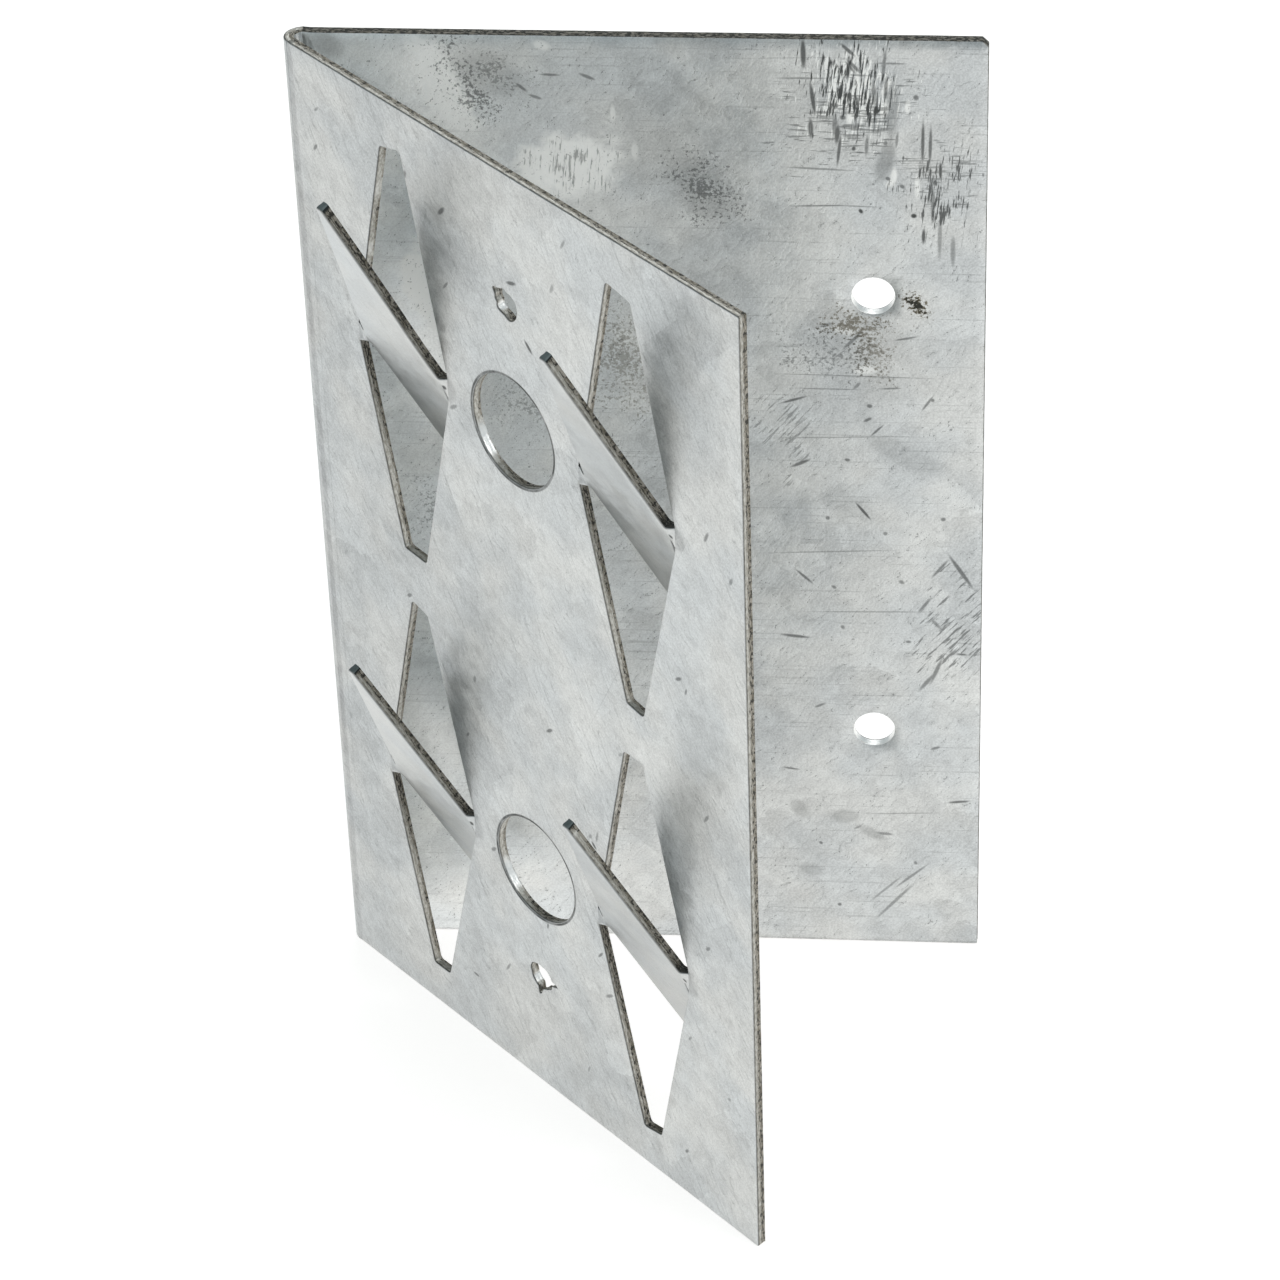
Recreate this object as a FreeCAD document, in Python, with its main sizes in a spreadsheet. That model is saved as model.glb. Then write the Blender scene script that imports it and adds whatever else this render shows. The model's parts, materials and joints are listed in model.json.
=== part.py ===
import FreeCAD, Part
import os
import Sketcher

# A roof bracket: one galvanised sheet folded along an upright edge into a V.
# The back leaf is nailed down through two holes. The front leaf has four windows, and
# the plate left in each one hangs on two necks, tilted so that its upper half stands
# out of the leaf as a prong and its lower half goes in behind it.
#
# The frame is millimetres, +Z up along the fold, with the back leaf parallel to XZ and
# the origin at the bottom centre of the bounding box. The one sheet is divided into
# regions that meet face to face, each an object of its own.
#
# Each leaf is drawn in local axes: X runs from the fold's bend centre to the free edge,
# Z is up, and -Y points out of the front leaf's outer face.

SIZES = {
    "leaf_rise": 254,        # height of the sheet along the fold
    "sheet": 2.3,            # thickness
    "fold_angle": 45,        # angle between the two leaves
    "bend_outer": 3.9,       # outer radius of the fold
    "back_run": 148.5,       # bend centre to the back leaf's free edge
    "front_run": 147.1,      # bend centre to the front leaf's free edge
    "corner_clip": 1.4,      # clipped top free corner of the back leaf
    "nail_hole": 9.5,        # diameter
    "nail_margin": 25,       # nail hole's centre to the free edge
    "row_offset": 61.2,      # each row of windows and holes, from mid height
    "web_centre": 72,        # bend centre to the front leaf's line of holes
    "web_width": 35,         # plain strip between the two columns of windows
    "column_offset": 37.7,   # each column of windows, from the line of holes
    "large_hole": 27,        # diameter
    "small_hole": 8.2,       # diameter
    "small_offset": 93.9,    # small hole's centre, from mid height
    "window_width": 31.2,    # between the faces that the necks grow from
    "window_rise": 107.8,    # apex to apex
    "window_tip": 6,         # width of each blunt apex
    "plate_width": 26,       # tilted plate, without its necks
    "plate_rise": 104,       # tilted plate, tip to tip
    "plate_tip": 1.8,        # width of each blunt tip
    "neck_rise": 4.8,        # height of each neck
    "plate_tilt": 24,        # turn of the plate about its necks
}
SHEET = "dims"

MID = "dims.leaf_rise / 2"
ROWS = {"lower": "-dims.row_offset", "upper": "dims.row_offset"}
COLUMNS = {"fold_side": "-dims.column_offset", "free_side": "dims.column_offset"}
BEND_INNER = "dims.bend_outer - dims.sheet"
FOLD_X = "-(dims.back_run - dims.bend_outer) / 2"
ANGLE = "(dims.fold_angle * 1deg)"
FRONT_DEPTH = f"dims.front_run * sin{ANGLE} + dims.bend_outer * cos{ANGLE}"
FOLD_Y = f"({FRONT_DEPTH} - dims.bend_outer) / 2"
AT_FOLD = f"vector({FOLD_X}; {FOLD_Y}; 0)"

doc = FreeCAD.newDocument("roof_bracket")


def fill_sheet():
    """Put the driving dimensions in the spreadsheet, one aliased cell each."""
    sheet = doc.addObject("Spreadsheet::Sheet", SHEET)
    for row, (name, value) in enumerate(SIZES.items(), start=1):
        sheet.set(f"A{row}", str(value))
        sheet.setAlias(f"A{row}", name)
    doc.recompute()


def new_body(name, placement):
    """Start a body whose label is its node's name, placed by an expression."""
    body = doc.addObject("PartDesign::Body", name)
    body.Label = name
    body.setExpression("Placement", placement)
    return body


def new_sketch(body, name, plane, offset="0", turn="0"):
    """Attach a sketch to an origin plane, moved along and turned about the plane's normal."""
    sketch = body.newObject("Sketcher::SketchObject", f"{body.Name}_{name}")
    support = next(item for item in body.Origin.OriginFeatures if item.Role == plane)
    sketch.AttachmentSupport = [(support, "")]
    sketch.MapMode = "FlatFace"
    sketch.setExpression("AttachmentOffset", f"placement(vector(0; 0; {offset}); rotationz({turn}))")
    return sketch


def pin(sketch, geometry, point, across, up):
    """Hold a point of the geometry at two distances from the sketch's origin."""
    for kind, expression in (("DistanceX", across), ("DistanceY", up)):
        index = sketch.addConstraint(Sketcher.Constraint(kind, -1, 1, geometry, point, 1.0))
        sketch.setExpression(f"Constraints[{index}]", expression)


def draw_outline(sketch, corners):
    """Draw a closed outline through corners given as pairs of expressions."""
    spots = [value_of(across, up) for across, up in corners]
    count = len(corners)
    for index in range(count):
        sketch.addGeometry(Part.LineSegment(spots[index], spots[(index + 1) % count]), False)
    for index in range(count):
        sketch.addConstraint(Sketcher.Constraint("Coincident", index, 2, (index + 1) % count, 1))
    for index, (across, up) in enumerate(corners):
        pin(sketch, index, 1, across, up)


def draw_circle(sketch, across, up, diameter):
    """Draw a circle with its centre and radius bound to expressions."""
    index = sketch.addGeometry(Part.Circle(value_of(across, up), FreeCAD.Vector(0, 0, 1), 1.0), False)
    radius = sketch.addConstraint(Sketcher.Constraint("Radius", index, 1.0))
    sketch.setExpression(f"Constraints[{radius}]", f"{diameter} / 2")
    pin(sketch, index, 3, across, up)


def value_of(across, up):
    """Evaluate a pair of expressions, as a starting place for the solver."""
    sheet = doc.getObject(SHEET)
    values = [float(sheet.evalExpression(text)) for text in (across, up)]
    return FreeCAD.Vector(values[0], values[1], 0)


def rectangle(left, right, bottom, top):
    """Corners of an upright rectangle."""
    return [(left, bottom), (right, bottom), (right, top), (left, top)]


def diamond(across, up, width, rise, tip):
    """Corners of a tall diamond with blunt apexes, cut square at its waist for the necks."""
    waist = "dims.neck_rise / 2"
    right_side = [
        (f"{tip} / 2", f"-{rise} / 2"),
        (f"{width} / 2", f"-{waist}"),
        (f"{width} / 2", waist),
        (f"{tip} / 2", f"{rise} / 2"),
    ]
    left_side = [(f"-{x}", z) for x, z in reversed(right_side)]
    return [(f"{across} + {x}", f"{up} + {z}") for x, z in right_side + left_side]


def pad(body, sketch, length):
    """Pad a sketch towards its plane's normal."""
    feature = body.newObject("PartDesign::Pad", f"{sketch.Name}_pad")
    feature.Profile = sketch
    feature.setExpression("Length", length)
    doc.recompute()
    return feature


def pocket(body, sketch):
    """Cut a sketch through the sheet both ways, and make sure that it removed metal."""
    before = body.Shape.Volume
    feature = body.newObject("PartDesign::Pocket", f"{sketch.Name}_pocket")
    feature.Profile = sketch
    feature.Type = "ThroughAll"
    feature.SideType = "Symmetric"
    doc.recompute()
    if not body.Shape.Volume < before - 1.0:
        raise RuntimeError(f"{feature.Name} cut nothing")
    return feature


def make_back_leaf():
    """Plain leaf with its two nail holes and one clipped corner."""
    body = new_body("back_leaf", f"placement({AT_FOLD}; rotationz(0))")
    outline = new_sketch(body, "outline", "XZ_Plane", "-dims.bend_outer")
    clip_x = "dims.back_run - dims.corner_clip"
    clip_z = "dims.leaf_rise - dims.corner_clip"
    draw_outline(outline, [
        ("0", "0"),
        ("dims.back_run", "0"),
        ("dims.back_run", clip_z),
        (clip_x, "dims.leaf_rise"),
        ("0", "dims.leaf_rise"),
    ])
    pad(body, outline, "dims.sheet")
    holes = new_sketch(body, "nail_holes", "XZ_Plane")
    for row in ROWS.values():
        draw_circle(holes, "dims.back_run - dims.nail_margin", f"{MID} + {row}", "dims.nail_hole")
    pocket(body, holes)
    return body


def make_fold():
    """The bend between the leaves, a rectangle turned about the bend's axis."""
    body = new_body("fold_bend", f"placement({AT_FOLD}; rotationz(0))")
    section = new_sketch(body, "section", "YZ_Plane")
    draw_outline(section, rectangle(BEND_INNER, "dims.bend_outer", "0", "dims.leaf_rise"))
    turn = body.newObject("PartDesign::Revolution", "fold_bend_turn")
    turn.Profile = section
    turn.ReferenceAxis = (section, ["V_Axis"])
    turn.setExpression("Angle", "180 - dims.fold_angle")
    doc.recompute()
    return body


def make_front_region(name, left, right, bottom, top):
    """A rectangular region of the front leaf, before anything is cut from it."""
    body = new_body(name, f"placement({AT_FOLD}; rotationz(-dims.fold_angle))")
    outline = new_sketch(body, "outline", "XZ_Plane", BEND_INNER)
    draw_outline(outline, rectangle(left, right, bottom, top))
    pad(body, outline, "dims.sheet")
    return body


def make_window_region(column, row, left, right, bottom, top):
    """A quarter of the leaf around one window."""
    body = make_front_region(f"front_leaf_{column}_{row}", left, right, bottom, top)
    window = new_sketch(body, "window", "XZ_Plane")
    across = f"dims.web_centre + {COLUMNS[column]}"
    up = f"{MID} + {ROWS[row]}"
    draw_outline(window, diamond(across, up, "dims.window_width", "dims.window_rise", "dims.window_tip"))
    pocket(body, window)
    return body


def make_web_region(row, small_shift, left, right, bottom, top):
    """Half of the strip between the windows, with its large and its small hole."""
    body = make_front_region(f"front_leaf_web_{row}", left, right, bottom, top)
    holes = new_sketch(body, "holes", "XZ_Plane")
    draw_circle(holes, "dims.web_centre", f"{MID} + {ROWS[row]}", "dims.large_hole")
    draw_circle(holes, "dims.web_centre", f"{MID} + {small_shift}", "dims.small_hole")
    pocket(body, holes)
    return body


def make_neck(body, side, sign):
    """A neck that twists from the tilted plate to the flat leaf."""
    waist = "dims.neck_rise / 2"
    half_sheet = "dims.sheet / 2"
    section = rectangle(f"-{half_sheet}", half_sheet, f"-{waist}", waist)
    inner = new_sketch(body, f"{side}_plate_end", "YZ_Plane", f"{sign}dims.plate_width / 2")
    draw_outline(inner, section)
    outer = new_sketch(
        body, f"{side}_leaf_end", "YZ_Plane", f"{sign}dims.window_width / 2", "-dims.plate_tilt")
    draw_outline(outer, section)
    loft = body.newObject("PartDesign::AdditiveLoft", f"{body.Name}_{side}_neck")
    loft.Profile = inner
    loft.Sections = [outer]
    loft.Ruled = True
    doc.recompute()
    return loft


def make_tilted_plate(column, row):
    """The plate in one window, tilted about its necks, in axes that lie in the plate."""
    across = f"(dims.web_centre + {COLUMNS[column]})"
    mid_sheet = "(dims.bend_outer - dims.sheet / 2)"
    pivot_x = f"{FOLD_X} + {across} * cos{ANGLE} - {mid_sheet} * sin{ANGLE}"
    pivot_y = f"{FOLD_Y} - {across} * sin{ANGLE} - {mid_sheet} * cos{ANGLE}"
    pivot = f"vector({pivot_x}; {pivot_y}; {MID} + {ROWS[row]})"
    turn = "rotationz(-dims.fold_angle) * rotationx(dims.plate_tilt)"
    body = new_body(f"prong_plate_{column}_{row}", f"placement({pivot}; {turn})")
    outline = new_sketch(body, "outline", "XZ_Plane", "-dims.sheet / 2")
    draw_outline(outline, diamond("0", "0", "dims.plate_width", "dims.plate_rise", "dims.plate_tip"))
    pad(body, outline, "dims.sheet")
    make_neck(body, "left", "-")
    make_neck(body, "right", "")
    return body


def make_front_leaf():
    """The six flat regions of the front leaf."""
    web_left = "dims.web_centre - dims.web_width / 2"
    web_right = "dims.web_centre + dims.web_width / 2"
    across = {"fold_side": ("0", web_left), "free_side": (web_right, "dims.front_run")}
    up = {"lower": ("0", MID), "upper": (MID, "dims.leaf_rise")}
    small_shift = {"lower": "-dims.small_offset", "upper": "dims.small_offset"}
    regions = []
    for row in ROWS:
        for column in COLUMNS:
            regions.append(make_window_region(column, row, *across[column], *up[row]))
        regions.append(make_web_region(row, small_shift[row], web_left, web_right, *up[row]))
    return regions


def check(bodies):
    """Stop if any feature failed or any region isn't one valid solid."""
    for item in doc.Objects:
        if "Invalid" in item.State or "Error" in item.State:
            raise RuntimeError(f"{item.Name} failed: {item.State}")
    for body in bodies:
        shape = body.Shape
        if shape.isNull() or not shape.isValid() or len(shape.Solids) != 1:
            raise RuntimeError(f"{body.Label} has no single valid solid")
        print(f"{body.Label}: {shape.Volume:.0f} mm3, {shape.BoundBox}")


fill_sheet()
regions = [make_back_leaf(), make_fold()]
regions += make_front_leaf()
regions += [make_tilted_plate(column, row) for row in ROWS for column in COLUMNS]
doc.recompute()
check(regions)

os.makedirs("parts", exist_ok=True)
for region in regions:
    region.Shape.exportStep(f"parts/{region.Label}.step")
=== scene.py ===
import functools
import json
import math
import random
from collections import namedtuple

import bmesh
import bpy
import numpy as np
from mathutils import Matrix, Vector, noise
from mathutils.geometry import delaunay_2d_cdt


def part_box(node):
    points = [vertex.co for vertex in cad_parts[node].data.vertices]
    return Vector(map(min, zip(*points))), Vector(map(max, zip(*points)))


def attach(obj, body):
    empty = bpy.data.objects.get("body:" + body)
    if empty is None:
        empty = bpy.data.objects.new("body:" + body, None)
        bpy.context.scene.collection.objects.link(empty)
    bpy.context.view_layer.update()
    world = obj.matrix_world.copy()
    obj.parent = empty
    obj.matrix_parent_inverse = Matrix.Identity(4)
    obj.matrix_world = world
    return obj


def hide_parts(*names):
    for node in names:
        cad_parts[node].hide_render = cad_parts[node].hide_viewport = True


# The roof bracket is one galvanised sheet. Each piece here is a stretch of that sheet,
# drawn on the flat blank as it was before forming and then carried through the fold and
# the twisted necks. Neighbouring pieces share plain boundaries, so no seam shows.
#
# A place on the blank is (run, rise, out): run is measured across the blank from the
# middle of the fold, positive on the front leaf; rise is the height; out is measured
# from mid sheet towards the outer face. Lengths are metres, and MM converts.

MM = 0.001

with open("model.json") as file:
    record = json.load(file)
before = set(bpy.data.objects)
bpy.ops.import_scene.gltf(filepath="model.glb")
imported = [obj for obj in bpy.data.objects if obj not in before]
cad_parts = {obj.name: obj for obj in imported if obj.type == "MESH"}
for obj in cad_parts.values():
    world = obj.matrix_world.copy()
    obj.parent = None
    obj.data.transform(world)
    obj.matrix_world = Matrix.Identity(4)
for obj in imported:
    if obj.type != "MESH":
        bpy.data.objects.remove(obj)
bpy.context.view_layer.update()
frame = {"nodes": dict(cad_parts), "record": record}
mounts = {mount["name"]: mount for mount in frame["record"]["mounts"]}

# ---- Sizes taken from the frame ----

back_low, back_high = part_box("back_leaf")
fold_low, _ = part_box("fold_bend")
RISE = back_high.z
SHEET = back_high.y - back_low.y
HALF = SHEET / 2
BEND_OUTER = back_low.x - fold_low.x
BEND_MID = BEND_OUTER - HALF
BEND = Vector((back_low.x, back_high.y - BEND_OUTER))
BACK_RUN = back_high.x - back_low.x

front_out = Vector(mounts["front_face"]["axis"]).to_2d()
FOLD_ANGLE = math.atan2(-front_out.x, -front_out.y)
front_along = Vector((math.cos(FOLD_ANGLE), -math.sin(FOLD_ANGLE)))
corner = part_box("front_leaf_free_side_lower")[1].x - BEND.x
FRONT_RUN = (corner + math.sin(FOLD_ANGLE) * (BEND_OUTER - SHEET)) / math.cos(FOLD_ANGLE)
BEND_TURN = math.pi - FOLD_ANGLE
BEND_ARC = BEND_MID * BEND_TURN

# ---- Sizes of the pierced shapes ----

WINDOW_WIDTH = 31.2 * MM
WINDOW_RISE = 107.8 * MM
WINDOW_TIP = 6.0 * MM
PLATE_WIDTH = 26.0 * MM
PLATE_RISE = 104.0 * MM
PLATE_TIP = 1.8 * MM
NECK_RISE = 4.8 * MM
PLATE_TILT = math.radians(24)
CORNER_CLIP = 1.4 * MM
PLATE_CORNER_RADIUS = 0.75 * MM
CORNER_RADIUS = 0.5 * MM   # more than the edge rounding, so that inset outlines never cross
NOTCH_RADIUS = 0.9 * MM
NECK_FILLET = 0.7 * MM

CORNER_STRAY = 1.2 * MM   # how far a window's corners may fall from the even shape

# Wear runs from 0, a clean bright cut, to 1, a black one. A plate's edge has one value at
# its tips and one at its necks. The upper tilt is the degrees added above the necks.
PRONGS = {
    "prong_plate_fold_side_upper": {
        "window_wear": 0.35, "edge_wear": (0.85, 0.75), "upper_tilt": -1.5},
    "prong_plate_free_side_upper": {
        "window_wear": 0.55, "edge_wear": (0.45, 0.8), "upper_tilt": 0},
    "prong_plate_fold_side_lower": {
        "window_wear": 0.45, "edge_wear": (0.5, 0.7), "upper_tilt": 0},
    "prong_plate_free_side_lower": {
        "window_wear": 0.65, "edge_wear": (0.25, 0.85), "upper_tilt": 0},
}

LARGE_HOLES = ("large_hole_lower", "large_hole_upper")
# Tears in the small holes' rims: (degrees round, depth in millimetres, degrees wide).
SMALL_HOLE_BITES = {
    "small_hole_lower": [(-100, 2.0, 9), (5, 2.2, 6), (150, 0.5, 30), (-60, -0.5, 15)],
    "small_hole_upper": [(152, 1.3, 11), (-60, 0.4, 30), (75, -0.5, 30), (-110, -0.4, 15)],
}
SMALL_HOLE_SHARE = 0.86   # of the true radius, before the bites

# ---- Sheared edges ----

ROLLOVER = 0.28 * MM      # rounding where the punch entered
PLATE_ROLLOVER = 0.6 * MM   # the plates were dragged down further
TEAR = 0.10 * MM          # how far the torn half of an edge falls back
BURR_BEVEL = 0.07 * MM
EDGE_RAGGED = 0.05 * MM   # waver of every cut outline
FIRST_CUT_ROW = 3         # rows of the edge profile before this are still zinc
FADE = 1.2 * MM           # over which a cut edge's rounding dies out at a neck
# Wear round each piece's outer rim, and where a hole's wall gets its painted highlight and where it is
# black, in degrees.
BACK_RIM_WEAR = 1.1
FOLD_RIM_WEAR = 0.6
FRONT_RIM_WEAR = 0.65
BURNISH_HIGHLIGHT_AT = -142
BLACKENED_AT = -82

# ---- Mesh fineness ----

SPACING = 1.6 * MM
GRID = 4.0 * MM
PLATE_GRID = 2.0 * MM
CLEARANCE = 1.1 * MM
FOLD_STEPS = 40
TINY = 1e-7   # metres, for telling whether a point lies on a line
WARP = 0.12 * MM
WARP_LENGTH = 55 * MM


# ---- From the blank to the folded sheet ----

def warped(run, rise, out):
    """Let the sheet stray a little inwards from true flatness."""
    bow = [noise.noise(Vector((a / WARP_LENGTH, b / WARP_LENGTH, 3.7))) for a, b in zip(run, rise)]
    return out + WARP * (np.array(bow) - 1) / 2


def folded(run, rise, out):
    """Carry points of the blank through the fold."""
    out = BEND_MID + warped(run, rise, out)
    past = np.abs(run) - BEND_ARC / 2
    turn = np.clip(run / BEND_ARC + 0.5, 0, 1) * BEND_TURN
    straight = np.where(past > 0, past, 0)
    normal = np.stack([-np.sin(turn), np.cos(turn)], 1)
    along = np.stack([np.cos(turn), np.sin(turn)], 1) * np.where(run > 0, -1, 1)[:, None]
    plan = np.array(BEND) + normal * out[:, None] + along * straight[:, None]
    return np.column_stack([plan, rise])


def run_of(point):
    """Where a point of the front leaf lies across the blank."""
    return (Vector(point).to_2d() - BEND).dot(front_along) + BEND_ARC / 2


def run_on_back(point):
    """Where a point of the back leaf lies across the blank."""
    return BEND.x - point[0] - BEND_ARC / 2


def twisted(centre, upper_tilt):
    """Carry a plate's points through its twisted necks, then through the fold."""
    def place(run, rise, out):
        across = run - centre[0]
        up = rise - centre[1]
        bent = np.clip(up / (PLATE_RISE / 4), 0, 1)
        full = PLATE_TILT + math.radians(upper_tilt) * bent * bent * (3 - 2 * bent)
        share = (np.abs(across) - PLATE_WIDTH / 2) / ((WINDOW_WIDTH - PLATE_WIDTH) / 2)
        share = np.clip(share, 0, 1)
        tilt = full * (1 - share * share * (3 - 2 * share))
        return folded(
            run,
            centre[1] + up * np.cos(tilt) - out * np.sin(tilt),
            up * np.sin(tilt) + out * np.cos(tilt))
    return place


# ---- Outlines on the blank ----

def outline(corners, spacing=SPACING):
    """Closed outline through corners (across, up, radius), with arcs and divided sides."""
    points = []
    count = len(corners)
    for index in range(count):
        before = Vector(corners[index - 1][:2])
        here = Vector(corners[index][:2])
        after = Vector(corners[(index + 1) % count][:2])
        points += rounded_corner(before, here, after, corners[index][2])
    return divided(points, spacing)


def rounded_corner(before, here, after, radius):
    """Points of a corner's arc, or the corner itself where it isn't rounded."""
    into = (here - before).normalized()
    away = (after - here).normalized()
    turn = math.atan2(into.cross(away), into.dot(away))
    if radius == 0 or abs(turn) < 1e-6:
        return [here]
    setback = radius * math.tan(abs(turn) / 2)
    side = math.copysign(1, turn)
    start = here - into * setback
    centre = start + Vector((-into.y, into.x)) * radius * side
    steps = max(2, math.ceil(abs(turn) / math.radians(20)))
    arm = start - centre
    arc = []
    for step in range(steps + 1):
        angle = turn * step / steps
        arc.append(centre + Matrix.Rotation(angle, 2) @ arm)
    return arc


def divided(points, spacing):
    """Add evenly spaced points along the sides of a closed outline."""
    dense = []
    for index, point in enumerate(points):
        following = points[(index + 1) % len(points)]
        steps = max(1, math.ceil((following - point).length / spacing - 1e-6))
        dense += [point.lerp(following, step / steps) for step in range(steps)]
    return np.array([tuple(point) for point in dense])


def circle(centre, radius):
    """Clockwise circle, as a hole's outline."""
    steps = max(28, math.ceil(math.tau * radius / (SPACING * 0.6)))
    turns = -np.arange(steps) * math.tau / steps
    return np.array(centre) + radius * np.stack([np.cos(turns), np.sin(turns)], 1)


def corner_strays(node):
    """How far each corner of a prong's window strays, in metres, the same on every run."""
    draw = random.Random(node)
    strays = [draw.uniform(-1, 1) * CORNER_STRAY for _ in range(8)]
    return list(zip(strays[0::2], strays[1::2]))


def window_corners(centre, stray):
    """Tall diamond with blunt apexes and upright stretches at its waist, anticlockwise."""
    waist = NECK_RISE / 2
    tip = WINDOW_TIP / 2
    apex = WINDOW_RISE / 2
    reach = WINDOW_WIDTH / 2
    apexes = [(tip, -apex), (tip, apex), (-tip, apex), (-tip, -apex)]
    apexes = [(x + dx, z + dz, NOTCH_RADIUS) for (x, z), (dx, dz) in zip(apexes, stray)]
    corners = [
        apexes[0], (reach, -waist, 0), (reach, waist, 0), apexes[1],
        apexes[2], (-reach, waist, 0), (-reach, -waist, 0), apexes[3]]
    return [(centre[0] + x, centre[1] + z, r) for x, z, r in corners]


def torn_hole(centre, radius, bites):
    """Clockwise ragged hole."""
    steps = 96
    turns = -np.arange(steps) * math.tau / steps
    reach = np.full(steps, radius)
    for index, turn in enumerate(turns):
        ripple = noise.noise(Vector((math.cos(turn), math.sin(turn), centre[1] / MM)) * 2.2)
        reach[index] += 0.16 * radius * ripple
    for degrees, depth, width in bites:
        away = np.abs((np.degrees(turns) - degrees + 180) % 360 - 180)
        reach += depth * MM * np.exp(-(away / width) ** 2)
    return np.array(centre) + reach[:, None] * np.stack([np.cos(turns), np.sin(turns)], 1)


def plate_corners(centre):
    """Plate with its two necks, anticlockwise."""
    waist = NECK_RISE / 2
    reach = WINDOW_WIDTH / 2
    right = [
        (PLATE_TIP / 2, -PLATE_RISE / 2, PLATE_CORNER_RADIUS),
        (PLATE_WIDTH / 2, -waist, NECK_FILLET),
        (reach, -waist, 0),
        (reach, waist, 0),
        (PLATE_WIDTH / 2, waist, NECK_FILLET),
        (PLATE_TIP / 2, PLATE_RISE / 2, PLATE_CORNER_RADIUS),
    ]
    left = [(-x, z, r) for x, z, r in reversed(right)]
    return [(centre[0] + x, centre[1] + z, r) for x, z, r in right + left]


def cut_weight(points, plain):
    """1 along a cut edge, falling to 0 where plain(points) says the metal runs on."""
    on_plain = plain(points)
    if not on_plain.any():
        return np.ones(len(points))
    gap = np.linalg.norm(points[:, None] - points[None, on_plain], axis=2).min(1)
    return np.clip(gap / FADE, 0, 1)


def never(points):
    """For an outline that is cut all the way round."""
    return np.zeros(len(points), bool)


# ---- Meshes ----

# An outline, a test for the stretches where the metal runs on, and how worn each point is
Cut = namedtuple("Cut", "points plain wear")


def even_wear(level):
    """The same wear all along an outline."""
    return lambda points: np.full(len(points), float(level))


def metal_side(points):
    """Normals of an outline on its metal's side, lengthened at corners to keep offsets even."""
    ahead = np.roll(points, -1, 0) - points
    ahead /= np.linalg.norm(ahead, axis=1)[:, None]
    behind = np.roll(ahead, 1, 0)
    left = np.stack([-behind[:, 1], behind[:, 0]], 1)
    middle = left + np.stack([-ahead[:, 1], ahead[:, 0]], 1)
    middle /= np.linalg.norm(middle, axis=1)[:, None]
    return middle / np.maximum((middle * left).sum(1), 0.5)[:, None]


def edge_profile(rollover):
    """Rows (inset, out, rough) of a sheared edge, from the outer face to the inner one."""
    rows = []
    steps = 4
    for step in range(steps + 1):
        turn = math.pi / 2 * step / steps
        rows.append((rollover * (1 - math.sin(turn)), HALF - rollover * (1 - math.cos(turn)), 0))
    rows.append((0, 0.15 * HALF, 0.3))
    rows.append((TEAR * 0.5, -0.25 * HALF, 1))
    rows.append((TEAR, -0.65 * HALF, 1))
    rows.append((TEAR * 0.7, BURR_BEVEL - HALF, 0.5))
    rows.append((TEAR * 0.7 + BURR_BEVEL, -HALF, 0.5))
    return rows


def waver(points, seed, wavelength):
    """Smooth noise from 0 to 1 along an outline."""
    values = [noise.noise(Vector((x / wavelength, z / wavelength, seed))) for x, z in points]
    return np.clip(np.array(values) * 0.8 + 0.5, 0, 1)


def edge_rows(points, weight, seed, rollover):
    """The rows of vertices that make one cut edge, each a full turn of the outline."""
    normals = metal_side(points)
    ragged = EDGE_RAGGED * waver(points, seed, 2.5 * MM)
    rows = []
    for index, (inset, out, rough) in enumerate(edge_profile(rollover)):
        torn = rough * TEAR * waver(points, seed + 5 + index, 0.8 * MM)
        offset = (inset + ragged + torn) * weight
        place = points + normals * offset[:, None]
        rows.append(np.column_stack([place, np.full(len(points), out)]))
    return rows


def inside(points, loop):
    """Which points lie inside a closed outline."""
    x, z = points[:, :1], points[:, 1:2]
    x0, z0 = loop[:, 0], loop[:, 1]
    x1, z1 = np.roll(x0, -1), np.roll(z0, -1)
    spans = (z0 > z) != (z1 > z)
    with np.errstate(divide="ignore", invalid="ignore"):
        crossing = x0 + (z - z0) * (x1 - x0) / (z1 - z0)
    return (np.count_nonzero(spans & (x < crossing), axis=1) % 2).astype(bool)


def in_metal(points, loops):
    """Inside the first outline and outside every other one."""
    keep = inside(points, loops[0])
    for loop in loops[1:]:
        keep &= ~inside(points, loop)
    return keep


def clear_of(points, loops, gap):
    """Which points keep a gap from every outline point."""
    rim = np.concatenate(loops)
    return np.linalg.norm(points[:, None] - rim[None], axis=2).min(1) > gap


def triangulated(loops, inner_points, chains):
    """Triangles over the metal between outlines, as indices into loops then inner points."""
    flat = np.concatenate([*loops, inner_points])
    edges = []
    start = 0
    for loop in loops:
        count = len(loop)
        edges += [(start + i, start + (i + 1) % count) for i in range(count)]
        start += count
    for chain in chains:
        edges += list(zip(chain[:-1], chain[1:]))
    # worked in millimetres, because the triangulation's tolerances are absolute
    made = delaunay_2d_cdt([Vector(p / MM) for p in flat], edges, [], 0, 1e-6)
    source = [origin[0] for origin in made[3]]
    triangles = np.array([[source[v] for v in face] for face in made[2]])
    centres = flat[triangles].mean(1)
    return triangles[in_metal(centres, loops)]


def grid_points(low, high, step):
    """Even grid over a rectangle of the blank."""
    runs = np.arange(low[0] + step / 2, high[0], step)
    rises = np.arange(low[1] + step / 2, high[1], step)
    return np.array([(run, rise) for run in runs for rise in rises])


def chains_along(columns, loop, inner_points, first_inner):
    """Vertex chains up each fold line, from the bottom edge to the top edge."""
    chains = []
    for column in columns:
        on_loop = np.where(np.abs(loop[:, 0] - column) < TINY)[0]
        on_grid = np.where(np.abs(inner_points[:, 0] - column) < TINY)[0] + first_inner
        heights = {int(i): loop[i, 1] for i in on_loop}
        heights.update({int(i): inner_points[i - first_inner, 1] for i in on_grid})
        chains.append(sorted(heights, key=heights.get))
    return chains


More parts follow.
